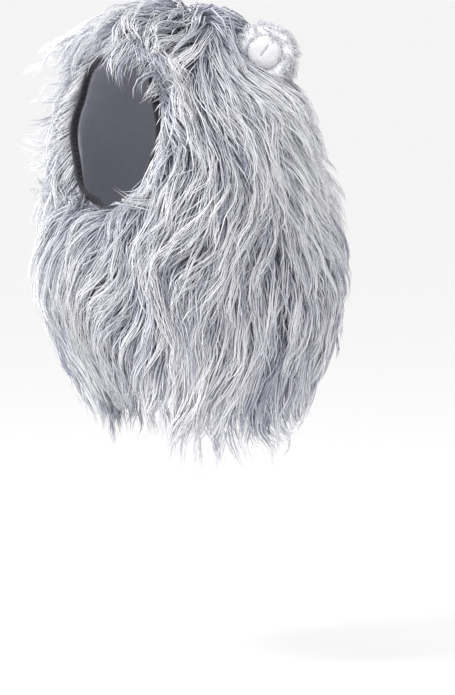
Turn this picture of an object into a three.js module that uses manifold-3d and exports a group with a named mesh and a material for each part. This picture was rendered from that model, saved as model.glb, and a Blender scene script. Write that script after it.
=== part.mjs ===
// Lion mane wig for a large pet: a hollow hood of faux fur that is pulled over the head, with an
// elastic band round the face opening, a deep pile of hanging locks, and two plush ears.
// Millimetres. The face opening looks along -Y, the wearer's left side is +X, and up is +Z. The
// origin is where the inside of the crown rests on the wearer's head.
import * as THREE from "three";
import { mergeVertices } from "three/addons/utils/BufferGeometryUtils.js";
import Module from "manifold-3d";

const wasm = await Module();
wasm.setup();

// Driving sizes of the hood. Its sections below are shares of these.
const hoodWidth = 250; // across the neck, outside the cloth
const hoodDepth = 276; // chest to nape, outside the cloth
const hoodDrop = 345; // crown to hem
const clothThickness = 2.6;
const seatGap = 0.45; // running gap between pieces that touch
const bandGap = 0.8; // between the cloth's rim, which twists, and the band
const gatherDepth = 2.4; // how far the elastic puckers the cloth
const gatherCount = 8;

// The elastic band sewn round the face opening.
const bandWidth = 9;
const bandThickness = 5;

// The pile: hair that stands off the cloth.
const pileHeight = 64; // at its deepest, over the nape
const undercoatShare = 0.55; // the dense part of the pile, which carries the locks
const lockLength = 150;
const lockWidth = 58;
const lockThickness = 20;
const chestTrim = 0.46; // how much shorter the locks are over the chest
const backTrim = 0.32; // and down the back

// The ears: a padded disc with a soft round pad let into its front.
const earWidth = 68;
const earHeight = 74; // from the cloth to the top
const earThickness = 20;
const earBevel = 6;
const earSink = 34; // the part below the seat that the cloth trims off
const earTurn = THREE.MathUtils.degToRad(48); // outwards from straight ahead
const earLean = THREE.MathUtils.degToRad(23); // to the side
const earTilt = THREE.MathUtils.degToRad(16); // backwards
const earRow = 4.4; // where it is sewn: row of the sections, and angle from the crown
const earAngle = THREE.MathUtils.degToRad(36);
const padRadius = 20;
const padDepth = 8;
const creaseLength = 24;
const creaseWidth = 3.2;
const partingReach = 54; // round each ear the pile lies flatter
const partingDepth = 0.8; // by this share of its depth
const partingFront = 18; // its middle, in front of the ear

// Sections of the hood from face to hem. Each is an oval between a point on the top line
// (forehead, crown, nape) and one on the low line (chin, throat, chest).
// y is a share of half hoodDepth, z of hoodDrop, half of half hoodWidth, and sag (how much lower
// the sides hang) of hoodDrop. The pile over the top line, the sides and the low line is a share of
// pileHeight. The first and last rows only guide the hair.
const sections = [
  { name: "fringe", topY: -0.98, topZ: -0.115, lowY: -0.81, lowZ: -0.58, half: 0.84, sag: 0.0, pileTop: 1.0, pileSide: 0.9, pileLow: 0.5 },
  { name: "face", topY: -0.65, topZ: -0.055, lowY: -0.77, lowZ: -0.615, half: 0.69, sag: 0.0, pileTop: 0.92, pileSide: 0.9, pileLow: 0.6 },
  { name: "brow", topY: -0.3, topZ: -0.015, lowY: -0.81, lowZ: -0.645, half: 0.78, sag: 0.0, pileTop: 0.85, pileSide: 0.92, pileLow: 0.78 },
  { name: "crown", topY: 0.05, topZ: 0.008, lowY: -0.87, lowZ: -0.68, half: 0.85, sag: 0.0, pileTop: 0.75, pileSide: 0.94, pileLow: 0.86 },
  { name: "occiput", topY: 0.32, topZ: -0.07, lowY: -0.93, lowZ: -0.72, half: 0.9, sag: 0.0, pileTop: 0.85, pileSide: 0.94, pileLow: 0.88 },
  { name: "nape", topY: 0.5, topZ: -0.21, lowY: -0.97, lowZ: -0.765, half: 0.94, sag: 0.02, pileTop: 0.8, pileSide: 0.94, pileLow: 0.88 },
  { name: "neck", topY: 0.76, topZ: -0.41, lowY: -1.0, lowZ: -0.81, half: 0.98, sag: 0.06, pileTop: 0.95, pileSide: 0.94, pileLow: 0.88 },
  { name: "shoulder", topY: 0.97, topZ: -0.64, lowY: -1.01, lowZ: -0.87, half: 1.0, sag: 0.13, pileTop: 1.0, pileSide: 0.9, pileLow: 0.8 },
  { name: "hem", topY: 1.0, topZ: -0.93, lowY: -0.98, lowZ: -0.95, half: 0.95, sag: 0.2, pileTop: 0.8, pileSide: 0.72, pileLow: 0.55 },
  { name: "tips", topY: 0.82, topZ: -1.18, lowY: -0.78, lowZ: -1.14, half: 0.74, sag: 0.26, pileTop: 0.45, pileSide: 0.4, pileLow: 0.3 },
];
const faceRow = 1;
const hemRow = sections.length - 2;
const rowsPerSection = 2;
const columns = 32;

// Tiers of locks. row counts along the sections, length, width and thick are shares of the lock
// sizes, from and to are the angles from the crown that the tier spans, in degrees.
const tiers = [
  { row: 1.15, count: 11, length: 0.62, width: 0.95, thick: 0.8, from: -180, to: 180 },
  { row: 2.1, count: 7, length: 0.76, width: 0.95, thick: 0.9, from: -95, to: 95 },
  { row: 2.8, count: 6, length: 0.76, width: 1.0, thick: 1.0, from: -105, to: 105 },
  { row: 3.8, count: 7, length: 0.84, width: 1.1, thick: 1.0, from: -120, to: 120 },
  { row: 4.8, count: 8, length: 0.98, width: 1.15, thick: 1.0, from: -140, to: 140 },
  { row: 5.8, count: 9, length: 1.0, width: 1.15, thick: 1.0, from: -180, to: 180 },
  { row: 6.8, count: 10, length: 0.9, width: 1.15, thick: 1.0, from: -180, to: 180 },
  { row: 7.6, count: 15, length: 0.82, width: 1.05, thick: 1.0, from: -180, to: 180 },
];
const lockStations = 4;
const lockRoot = 0.45; // share of the pile's depth at which a lock starts

const topLine = new THREE.CatmullRomCurve3(
  sections.map((s) => new THREE.Vector3(0, (s.topY * hoodDepth) / 2, s.topZ * hoodDrop)),
);
const lowLine = new THREE.CatmullRomCurve3(
  sections.map((s) => new THREE.Vector3(0, (s.lowY * hoodDepth) / 2, s.lowZ * hoodDrop)),
);
const girth = new THREE.CatmullRomCurve3(
  sections.map((s) => new THREE.Vector3((s.half * hoodWidth) / 2, s.sag * hoodDrop, 0)),
);
const pileDepth = new THREE.CatmullRomCurve3(
  sections.map((s) => new THREE.Vector3(s.pileTop, s.pileSide, s.pileLow).multiplyScalar(pileHeight)),
);

// A point of a curve at a row of the sections, which runs on straight past the first and last rows.
function along(curve, row) {
  const last = sections.length - 1;
  const inside = THREE.MathUtils.clamp(row, 0, last);
  const point = curve.getPoint(inside / last);
  if (row === inside) return point;
  const slope = new THREE.Vector3().subVectors(
    curve.getPoint(Math.min(inside + 0.05, last) / last),
    curve.getPoint(Math.max(inside - 0.05, 0) / last),
  );
  return point.addScaledVector(slope, (row - inside) / 0.05);
}

// A point of the hood's smooth outer surface: an oval from the top line (angle 0) round the left side
// to the low line, whose sides sag.
function ovalPoint(row, angle) {
  const top = along(topLine, row);
  const low = along(lowLine, row);
  const size = along(girth, row);
  const side = Math.sin(angle);
  const point = new THREE.Vector3().lerpVectors(low, top, (1 + Math.cos(angle)) / 2);
  point.x = side * size.x;
  point.z -= side * side * size.y;
  return point;
}

// The surface at a row and an angle: its point, its two directions and its outward normal.
function surfaceFrame(row, angle) {
  const step = 0.02;
  const alongRow = ovalPoint(row + step, angle).sub(ovalPoint(row - step, angle)).divideScalar(2 * step);
  const alongAngle = ovalPoint(row, angle + step).sub(ovalPoint(row, angle - step)).divideScalar(2 * step);
  const normal = new THREE.Vector3().crossVectors(alongAngle, alongRow).normalize();
  return { here: ovalPoint(row, angle), alongRow, alongAngle, normal };
}

// How far the elastic puckers the cloth outwards at a row and an angle.
function pucker(row, angle) {
  const share = THREE.MathUtils.clamp(1 - Math.abs(row - faceRow) / 1.5, 0, 1);
  return gatherDepth * share * Math.cos(gatherCount * angle);
}

// A closed ring at a row, a height off the cloth's outer face (a distance, or a function of the row
// and the angle), moved towards the hem by an advance.
function ring(row, height, advance = 0, count = columns) {
  return Array.from({ length: count }, (_, i) => {
    const angle = (2 * Math.PI * i) / count;
    const frame = surfaceFrame(row, angle);
    const off = typeof height === "function" ? height(row, angle) : height + pucker(row, angle);
    const onwards = new THREE.Vector3().crossVectors(frame.normal, frame.alongAngle).normalize();
    return frame.here.addScaledVector(frame.normal, off).addScaledVector(onwards, advance);
  });
}

function toGeometry(points, triangles) {
  const geometry = new THREE.BufferGeometry().setFromPoints(points);
  return geometry.setIndex(triangles);
}

// The strip between two rings, split along one diagonal or the other.
function bridge(triangles, a, b, count, otherWay = false) {
  for (let i = 0; i < count; i++) {
    const j = (i + 1) % count;
    if (otherWay) triangles.push(a + i, a + j, b + i, a + j, b + j, b + i);
    else triangles.push(a + i, b + j, b + i, a + i, a + j, b + j);
  }
}

// A solid through rings of points, closed by a fan at each end.
function filled(rings) {
  const count = rings[0].length;
  const points = rings.flat();
  const triangles = [];
  for (let r = 0; r + 1 < rings.length; r++) bridge(triangles, r * count, (r + 1) * count, count);
  const last = (rings.length - 1) * count;
  const centreOf = (list) =>
    list.reduce((sum, p) => sum.add(p), new THREE.Vector3()).divideScalar(list.length);
  points.push(centreOf(rings[0]), centreOf(rings[rings.length - 1]));
  for (let i = 0; i < count; i++) {
    const j = (i + 1) % count;
    triangles.push(points.length - 2, j, i);
    triangles.push(points.length - 1, last + i, last + j);
  }
  return toGeometry(points, triangles);
}

// A hollow wall between outer rings and inner rings, open at both ends. Its two rims are split alike,
// so that walls laid rim to rim keep their gap.
function wall(outer, inner) {
  const rings = [...outer, ...inner.reverse()];
  const count = rings[0].length;
  const triangles = [];
  rings.forEach((_, r) => {
    const next = (r + 1) % rings.length;
    bridge(triangles, r * count, next * count, count, next === 0);
  });
  return toGeometry(rings.flat(), triangles);
}

function toSolid(geometry) {
  const bare = geometry.index ? geometry.clone() : geometry;
  bare.deleteAttribute("normal");
  bare.deleteAttribute("uv");
  const merged = mergeVertices(bare, 1e-3);
  const solid = new wasm.Manifold(
    new wasm.Mesh({
      numProp: 3,
      vertProperties: new Float32Array(merged.attributes.position.array),
      triVerts: new Uint32Array(merged.index.array),
    }),
  );
  return solid;
}

function fromSolid(solid) {
  const mesh = solid.getMesh();
  const geometry = new THREE.BufferGeometry();
  geometry.setAttribute("position", new THREE.BufferAttribute(new Float32Array(mesh.vertProperties), 3));
  return geometry.setIndex(new THREE.BufferAttribute(new Uint32Array(mesh.triVerts), 1));
}

function largestBody(solid) {
  return solid.decompose().reduce((best, body) => (body.volume() > best.volume() ? body : best));
}

const hoodRows = Array.from(
  { length: (hemRow - faceRow) * rowsPerSection + 1 },
  (_, i) => faceRow + i / rowsPerSection,
);

function hoodCloth() {
  return wall(hoodRows.map((row) => ring(row, 0)), hoodRows.map((row) => ring(row, -clothThickness)));
}

// Everything that the cloth encloses, with its wall and a gap round it: what other pieces keep out of.
function hoodKeepOut() {
  const rings = hoodRows.map((row) => ring(row, seatGap));
  const before = ring(faceRow, seatGap, -seatGap);
  const after = ring(hemRow, seatGap, seatGap);
  return toSolid(filled([before, ...rings, after]));
}

// The elastic band, just in front of the cloth's edge.
function faceBand(grow) {
  const over = (bandThickness - clothThickness) / 2;
  const edges = [-bandGap - bandWidth - grow, -bandGap + grow];
  return wall(
    edges.map((edge) => ring(faceRow, over + grow, edge)),
    edges.map((edge) => ring(faceRow, over - bandThickness - grow, edge)),
  );
}

// The placing of an ear: side is 1 for the wearer's left and -1 for its right.
function earPlace(side) {
  const place = new THREE.Object3D();
  place.position.copy(ovalPoint(earRow, side * earAngle));
  place.rotation.set(-earTilt, side * earLean, side * earTurn, "ZYX");
  place.updateMatrix();
  return place.matrix;
}

const partings = [1, -1].map((side) => new THREE.Vector3(0, -partingFront, 0).applyMatrix4(earPlace(side)));

// How deep the pile is at a row and an angle.
function pileAt(row, angle) {
  const depth = along(pileDepth, row);
  const end = Math.cos(angle) > 0 ? depth.x : depth.z;
  const free = depth.y + (end - depth.y) * Math.cos(angle) ** 2;
  const here = ovalPoint(row, angle);
  const near = Math.min(...partings.map((parting) => parting.distanceTo(here)));
  return free * (1 - partingDepth * Math.exp(-((near / partingReach) ** 2)));
}

// The way the hair lies: it falls over the hood, and is combed forward over the brow and round the
// face, and back elsewhere.
const partingRow = 2.7; // in front of it the crown's hair is combed over the brow
const combBack = 0.45;
const combForward = 1.3;
const combRuff = 0.4; // how far the hair round the face stands forward

function flow(row, frame) {
  const overBrow = THREE.MathUtils.smoothstep(frame.normal.z, 0.35, 0.8) * (row < partingRow ? 1 : 0);
  const atFace = 1 - THREE.MathUtils.smoothstep(row, faceRow, faceRow + 1);
  const comb = combBack - (combBack + combForward) * overBrow - combRuff * atFace * (1 - overBrow);
  const direction = frame.alongRow.clone().normalize().multiplyScalar(comb);
  direction.z -= 1;
  direction.addScaledVector(frame.normal, -direction.dot(frame.normal));
  return direction.normalize();
}

// How far a direction on the surface moves along the rows and round the angle.
function surfaceStep(frame, direction) {
  const rr = frame.alongRow.dot(frame.alongRow);
  const ra = frame.alongRow.dot(frame.alongAngle);
  const aa = frame.alongAngle.dot(frame.alongAngle);
  const dr = frame.alongRow.dot(direction);
  const da = frame.alongAngle.dot(direction);
  const scale = rr * aa - ra * ra;
  return { row: (dr * aa - da * ra) / scale, angle: (da * rr - dr * ra) / scale };
}

// One lock: it rises out of the undercoat to the pile's full depth and narrows to its tip.
function lock(row, angle, length, width, thick) {
  const middles = [];
  let at = { row, angle };
  for (let i = 0; i <= lockStations; i++) {
    const frame = surfaceFrame(at.row, at.angle);
    const direction = flow(at.row, frame);
    const rise = 1 - (1 - i / lockStations) ** 2;
    const share = lockRoot + (1 - lockRoot) * rise;
    const height = (pileAt(at.row, at.angle) - thick / 2) * share;
    middles.push({ point: frame.here.addScaledVector(frame.normal, height), normal: frame.normal });
    const move = surfaceStep(frame, direction.multiplyScalar(length / lockStations));
    at = { row: at.row + move.row, angle: at.angle + move.angle };
  }
  const rings = middles.map(({ point, normal }, i) => {
    const before = middles[Math.max(i - 1, 0)].point;
    const after = middles[Math.min(i + 1, lockStations)].point;
    const forward = new THREE.Vector3().subVectors(after, before).normalize();
    const across = new THREE.Vector3().crossVectors(forward, normal).normalize();
    const out = new THREE.Vector3().crossVectors(across, forward).normalize();
    const swell = 0.08 + 0.92 * Math.sin(Math.PI * (0.25 + (0.75 * i) / lockStations)) ** 0.9;
    const corner = (wide, deep) =>
      point.clone().addScaledVector(across, wide * swell).addScaledVector(out, deep * swell);
    return [corner(width / 2, -thick / 2), corner(-width / 2, -thick / 2), corner(0, thick / 2)];
  });
  return toSolid(filled(rings));
}

const goldenShare = 0.618034; // spaces the jitter of neighbouring locks apart

function jitter(n, spread) {
  return spread * (2 * ((n * goldenShare) % 1) - 1);
}

function allLocks() {
  const locks = [];
  for (const tier of tiers) {
    for (let i = 0; i < tier.count; i++) {
      const n = locks.length + 1;
      const across = (i + 0.5 + jitter(n, 0.22)) / tier.count;
      const angle = THREE.MathUtils.degToRad(tier.from + (tier.to - tier.from) * across);
      const trim = (Math.cos(angle) > 0 ? backTrim : chestTrim) * Math.cos(angle) ** 2;
      const long = lockLength * tier.length * (1 + jitter(n * 3, 0.12) - trim);
      const wide = lockWidth * tier.width * (1 + jitter(n * 5, 0.12));
      locks.push(lock(tier.row + jitter(n * 7, 0.18), angle, long, wide, lockThickness * tier.thick));
    }
  }
  return locks;
}

// The undercoat: a thick wall round the hood, whose inner side the keep-out trims afterwards.
function undercoat() {
  const rows = hoodRows.filter((row) => Number.isInteger(row));
  const depth = (row, angle) => undercoatShare * pileAt(row, angle);
  const inside = () => -clothThickness / 2;
  const rings = (height) => rows.map((row) => ring(row, height, 0, columns / 2));
  return toSolid(wall(rings(depth), rings(inside)));
}

function manePile(keepOut, pockets) {
  let pile = undercoat();
  for (const one of allLocks()) pile = pile.add(one);
  pile = pile.subtract(keepOut);
  for (const pocket of pockets) pile = pile.subtract(pocket);
  return largestBody(pile);
}

// One ear upright at the origin, its front towards -Y, its seat at z 0 and its top at earHeight.
function earOutline(grow) {
  const half = earWidth / 2 + grow;
  const shape = new THREE.Shape();
  shape.moveTo(-half * 0.72, -earSink - grow);
  shape.lineTo(half * 0.72, -earSink - grow);
  shape.lineTo(half * 0.9, earHeight - earWidth * 0.85);
  shape.absarc(0, earHeight - earWidth / 2, half, THREE.MathUtils.degToRad(-22), THREE.MathUtils.degToRad(202), false);
  return shape;
}

function earBody(grow) {
  const geometry = new THREE.ExtrudeGeometry(earOutline(grow - earBevel), {
    depth: earThickness - 2 * earBevel,
    bevelThickness: earBevel + grow,
    bevelSize: earBevel,
    bevelSegments: 2,
    curveSegments: 9,
  });
  geometry.translate(0, 0, earBevel - earThickness / 2);
  geometry.rotateX(Math.PI / 2);
  return toSolid(geometry);
}

function earPad(grow) {
  const geometry = new THREE.SphereGeometry(1, 16, 8);
  geometry.scale(padRadius + grow, padRadius + grow, padDepth + grow);
  geometry.rotateX(Math.PI / 2);
  geometry.translate(0, -earThickness / 2, earHeight - earWidth / 2);
  return toSolid(geometry);
}

// The soft fold in the middle of the pad.
function padCrease() {
  const geometry = new THREE.SphereGeometry(1, 6, 4);
  geometry.scale(creaseWidth / 2, padDepth / 2, creaseLength / 2);
  geometry.rotateY(THREE.MathUtils.degToRad(32));
  geometry.translate(0, -earThickness / 2 - padDepth, earHeight - earWidth / 2);
  return toSolid(geometry);
}

function placed(solid, matrix) {
  const geometry = fromSolid(solid);
  geometry.applyMatrix4(matrix);
  return toSolid(geometry);
}

const colours = {
  cloth: { color: 0x9a9ba6, roughness: 0.95, metalness: 0 },
  band: { color: 0x26262b, roughness: 0.85, metalness: 0 },
  fur: { color: 0xbfc0ca, roughness: 0.8, metalness: 0 },
  plush: { color: 0xededf0, roughness: 0.9, metalness: 0 },
};

function addPiece(group, name, geometry, colour) {
  const mesh = new THREE.Mesh(geometry, new THREE.MeshStandardMaterial(colour));
  mesh.name = name;
  group.add(mesh);
}

function lionManeWig() {
  const group = new THREE.Group();
  const keepOut = hoodKeepOut();
  addPiece(group, "hood_cloth", hoodCloth(), colours.cloth);
  addPiece(group, "face_band", faceBand(0), colours.band);

  const pockets = [toSolid(faceBand(seatGap))];
  for (const [side, name] of [[1, "left"], [-1, "right"]]) {
    const place = earPlace(side);
    const ear = placed(earBody(0).subtract(earPad(seatGap)), place).subtract(keepOut);
    const pad = placed(earPad(0).subtract(padCrease()), place);
    addPiece(group, `ear_${name}`, fromSolid(largestBody(ear)), colours.fur);
    addPiece(group, `inner_ear_${name}`, fromSolid(largestBody(pad)), colours.plush);
    pockets.push(placed(earBody(seatGap), place), placed(earPad(seatGap), place));
  }
  addPiece(group, "mane_pile", fromSolid(manePile(keepOut, pockets)), colours.fur);
  return group;
}

export default lionManeWig();
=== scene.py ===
"""Lion mane wig for a large pet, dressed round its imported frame: loose hair over a knitted backing, a
gathered elastic edge, furred ears with plush pads, and a pale studio. Metres, in the part's frame:
the face opening looks along -Y, the wearer's left is +X, and the crown rests on the origin."""
import math
from types import SimpleNamespace

import bpy
import numpy as np
from mathutils import Euler, Matrix, Vector


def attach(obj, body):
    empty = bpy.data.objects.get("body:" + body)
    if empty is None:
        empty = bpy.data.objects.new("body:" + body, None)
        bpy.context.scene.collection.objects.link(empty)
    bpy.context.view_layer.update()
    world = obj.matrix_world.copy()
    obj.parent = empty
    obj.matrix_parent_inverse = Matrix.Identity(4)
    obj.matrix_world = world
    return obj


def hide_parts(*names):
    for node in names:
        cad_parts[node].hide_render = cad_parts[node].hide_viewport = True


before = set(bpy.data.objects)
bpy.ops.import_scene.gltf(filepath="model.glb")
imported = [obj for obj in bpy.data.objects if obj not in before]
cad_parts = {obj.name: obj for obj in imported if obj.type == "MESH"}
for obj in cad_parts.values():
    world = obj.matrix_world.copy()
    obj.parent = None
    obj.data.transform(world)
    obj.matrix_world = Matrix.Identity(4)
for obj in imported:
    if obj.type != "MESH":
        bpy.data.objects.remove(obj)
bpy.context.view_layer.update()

MM = 0.001

# The hood's form, as the part's source has it.
HOOD_WIDTH = 250 * MM
HOOD_DEPTH = 276 * MM
HOOD_DROP = 345 * MM
CLOTH_THICKNESS = 2.6 * MM
SEAT_GAP = 0.45 * MM
BAND_GAP = 0.8 * MM
GATHER_DEPTH = 2.4 * MM
GATHER_COUNT = 8
GATHER_ROWS = 1.5  # how many rows past the face edge the gathers fade out over
BAND_WIDTH = 9 * MM
BAND_THICKNESS = 5 * MM
PILE_HEIGHT = 64 * MM
LOCK_LENGTH = 150 * MM
EAR_WIDTH = 68 * MM
EAR_HEIGHT = 74 * MM
EAR_THICKNESS = 20 * MM
EAR_TURN = math.radians(48)
EAR_LEAN = math.radians(23)
EAR_TILT = math.radians(16)
EAR_ROW = 4.4
EAR_ANGLE = math.radians(36)
EAR_DISC = EAR_HEIGHT - EAR_WIDTH / 2  # the height of the ear's round middle
PAD_RADIUS = 20 * MM
PAD_DEPTH = 8 * MM

# Sections from face to hem: y is a share of half HOOD_DEPTH, z and sag of HOOD_DROP, half of half
# HOOD_WIDTH, and the pile over the top line, the sides and the low line of PILE_HEIGHT.
SECTIONS = [
    # name      top y  top z   low y  low z   half  sag   pile: top side low
    ("fringe", -0.98, -0.115, -0.81, -0.58, 0.84, 0.0, 1.0, 0.9, 0.5),
    ("face", -0.65, -0.055, -0.77, -0.615, 0.69, 0.0, 0.92, 0.9, 0.6),
    ("brow", -0.3, -0.015, -0.81, -0.645, 0.78, 0.0, 0.85, 0.92, 0.78),
    ("crown", 0.05, 0.008, -0.87, -0.68, 0.85, 0.0, 0.75, 0.94, 0.86),
    ("occiput", 0.32, -0.07, -0.93, -0.72, 0.9, 0.0, 0.85, 0.94, 0.88),
    ("nape", 0.5, -0.21, -0.97, -0.765, 0.94, 0.02, 0.8, 0.94, 0.88),
    ("neck", 0.76, -0.41, -1.0, -0.81, 0.98, 0.06, 0.95, 0.94, 0.88),
    ("shoulder", 0.97, -0.64, -1.01, -0.87, 1.0, 0.13, 1.0, 0.9, 0.8),
    ("hem", 1.0, -0.93, -0.98, -0.95, 0.95, 0.2, 0.8, 0.72, 0.55),
    ("tips", 0.82, -1.18, -0.78, -1.14, 0.74, 0.26, 0.45, 0.4, 0.3),
]
LAST = len(SECTIONS) - 1
FACE_ROW = 1
HEM_ROW = LAST - 1
CROWN_ROW = 3.2
SLOPE_STEP = 0.05

# Rows over which one stretch of the hood turns into the next.
FACE_ROWS = (FACE_ROW, FACE_ROW + 1.3)
BROW_ROWS = (1.7, 3.0)
TOP_ROWS = (2.6, 3.8)
CHEEK_ROWS = (2.2, 4.4)
THROAT_ROWS = (5.0, 7.5)
TRIMMED_ROWS = (4.5, 6.5)
LOW_ROWS = (5.8, 7.4)
CHEST_ROWS = (2, 4)
SIDE_START, SIDE_END = (2.6, 3.6), (5.2, 6.2)
TUFTS_START, TUFTS_END = (3.4, 4.8), (6.2, 7.2)

# Where the pile thins, since the hair parts before each ear, and where it stands up beside the ear's
# base. Both places are in the ear's own frame.
PARTING_PLACE = (-14 * MM, -30 * MM, 0)
PARTING_REACH = 50 * MM
PARTING_DEPTH = 0.72
PARTING_CUT = 0.7  # how much sooner the parting ends towards the ear's outer side
BULGE_PLACE = (32 * MM, 0, -12 * MM)
BULGE_REACH = 38 * MM
BULGE_RISE = 0.34

# How the hair lies. The combs are shares of its fall.
TOP_SLOPE = (0.35, 0.8)  # the normal's height where the sides turn into the top
COMB_BACK = 0.45
COMB_FORWARD = 1.3
COMB_RUFF = 0.8
SWEEP = math.radians(30)  # how far the hair of the cheeks and throat turns towards the chest
CHEEK_SWEEP = 0.7
DROOP_REACH = 75 * MM  # hair that hangs free of the brow falls in a curve of this radius
SWAY = [(0.24, 160 * MM, 11), (0.12, 70 * MM, 12)]  # radians, wavelength, seed
ROOT_HEIGHT = 0.3  # a share of the pile, and how much more of it at the crown
CROWN_ROOT_HEIGHT = 0.22
STEEPNESS = 2  # how fast hair rises from its root, and how much faster at the crown
CROWN_STEEPNESS = 4

# The long hair: clumps of hairs along guides.
GUIDES = 1740
PARTING_GUIDES = 200  # more of them where the hair parts before the ears
PARTING_SHARE = 0.1
HAIRS_PER_GUIDE = 8
GUIDE_STEPS = 10
HAIR_RINGS = 7
HAIR_RADIUS = 0.76 * MM
FIRST_ROOT = 0.84  # the roots' first and last rows
LAST_ROOT = 7.95
ROOT_GRID = (90, 181)
EVEN_STEPS = (0.7548776662, 0.5698402910)  # they spread points evenly over a square
LENGTH_BY_ROW = [
    (0.9, 0.52), (2.1, 0.7), (2.8, 0.76), (3.8, 0.84),
    (4.8, 0.98), (5.8, 1.0), (6.8, 0.94), (7.9, 0.86),
]
LENGTH_SPREAD = (0.86, 1.12)
LAYER_LIFT = (0.5, 0.46)  # the lowest hair's height as a share of the pile, and the layers' depth
TURN_SPREAD = 0.14
CHEST_TRIM = 0.06
BACK_TRIM = 0.32
RIGHT_TRIM = 0.2  # the mane hangs a little lower on its left side
TUFT_TRIM = 0.34  # the topmost hair of the sides and back is shorter, so that its tips show
TUFTED_LAYERS = (0.5, 0.9)
HAIR_START = (-0.02, 0.12)  # where hairs start and end along their guide
HAIR_END = (0.72, 1.0)
CLUMP_RADIUS = 10 * MM
CLUMP_SPREAD = (0.7, 1.3)
CLUMP_FLATNESS = 0.55
GATHERED = (0.8, 0.5)  # how far a clump draws together, and how much less its loose hairs do
TIDIED = 0.65  # how many fewer hairs are loose on the crown and at the hem
STRAY = 14 * MM
HAIR_THICKNESS = (0.5, 1.3)
TIP_THINNING = 0.72
HEM_THICKENING = 0.34
WAVE_LENGTH = 68 * MM
MOST_WAVES = 2.1
WAVE_PACE = (0.75, 1.3)
WAVE_DEPTH = 4.6 * MM
WAVE_SPREAD = (0.4, 1.4)
WAVE_FLATNESS = 0.6
WAVES_AT_FACE = 0.8  # how much deeper they are round the face, and shallower on the crown
WAVES_ON_CROWN = -0.6
PHASE_SPREAD = 0.3
VALLEY = (108 * MM, -72 * MM, -238 * MM)  # where the hair below each cheek parts, lying lower and painted darker as shade
VALLEY_REACH = 42 * MM
VALLEY_DEPTH = 0.7

# The short hair close to the cloth, the hair round the face opening, the undercoat and the cloth.
SHORT_HAIRS = 6000
CROWN_HAIRS = 1000  # more of them where the hair parts on the crown and before the ears
CROWN_SHARE = 0.07
SHORT_LENGTH = 46 * MM
SHORT_LENGTHS = (0.7, 1.25)
SHORT_LIFTS = (0.45, 0.8)
SHORT_TURN_SPREAD = 0.22
SHORT_THICKNESS = 1.5  # of a long hair's
SHORT_STEPS = 3
RIM_HAIRS = 1500
RIM_STEPS = 4
RIM_LENGTH = 34 * MM
RIM_WIDTH = 0.42
UNDER_HEIGHT = 0.24  # of the pile
UNDER_LEAST = 1.8 * MM
FINE_GATHER_DEPTH = 0.5 * MM
CLOTH_WAVE_DEPTH = 0.3 * MM
RIB_DEPTH = 0.35 * MM
RIBS_PER_GATHER = 10

# The ears' surroundings and hair.
EAR_COVERED = 21 * MM  # the mane's hair is pressed down to here in front of the ear
EAR_PRESS = 0.86
PRESS_ASIDE = (24 * MM, 52 * MM)
PRESS_FRONT = (50 * MM, 85 * MM)
PRESS_BACK = (0, 14 * MM)
EAR_CLEARANCE = 2 * MM
PAD_CLEARANCE = 3 * MM
PAD_VIEW = 60 * MM  # how far in front of the pad no hair hangs
FOOT_CLEARANCE = 6 * MM
EAR_HAIRS = 2600
EAR_HAIR_STEPS = 3
EAR_HAIR_RADIUS = 0.55 * MM
EAR_HAIR_LENGTHS = (7 * MM, 13 * MM)
EAR_FOOT = -6 * MM  # the ear's hair starts at this height

# Tints run from 0, the darkest hair, to 1, and these add to them. Most of them are painted light and
# shade: clumps deep in the pile, at the hem, by the cheeks and in the valleys below the cheeks are painted
# darker as shade, and clumps on the chest and sides paler as light. A hair's map keeps a little width for
# its baking.
BASE_TINT = 0.21
# Painted shade of deep clumps, painted light on the chest and sides, painted shade at the hem and by the
# cheeks:
LAYER_PAINTED_SHADE = 0.58
CHEST_PAINTED_LIGHT = 0.4
SIDE_PAINTED_LIGHT = 0.12
HEM_PAINTED_SHADE = -0.38
CHEEK_PAINTED_SHADE = -0.2
VALLEY_PAINTED_SHADE = -0.25
DARK_CLUMP_TINT = -0.35
DARK_CLUMPS = 0.12  # their share
PATCHES = (0.14, 130 * MM, 13)  # strength, wavelength, seed
CLUMP_TINT_SPREAD = 0.14
HAIR_TINT_SPREAD = 0.06
TINT_RANGE = (0.03, 0.97)
MAP_WIDTH = 0.006
MAP_EDGE = 0.02

# The photograph's camera: an origin of the part in the frame, and the size of one pixel there.
PHOTO_WIDTH, PHOTO_HEIGHT = 455, 695
PIXEL = 1.15 * MM
ORIGIN_PIXEL = (190, 30)
CAMERA_AZIMUTH = math.radians(55)
CAMERA_ELEVATION = math.radians(5)
CAMERA_DISTANCE = 5.0
SENSOR_HEIGHT = 24
CLIP_END = 2000
FLOOR_DROP = 0.734  # from the crown to what the wearer sits on
FLOOR_RADIUS = 300.0
FLOOR_SIDES = 96
LIT_PLACE = (0, 0, -0.22)
LIGHTS = [
    # name   to the right, up and towards the camera, size, power
    ("key", (-1.1, 1.6, 0.9), 1.1, 32),
    ("fill", (1.6, 0.5, 1.4), 1.6, 2),
    ("side", (-1.9, 0.1, 0.7), 1.4, 14),
]


# Curves and vectors

def column(index):
    return np.array([section[index] for section in SECTIONS])


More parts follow.
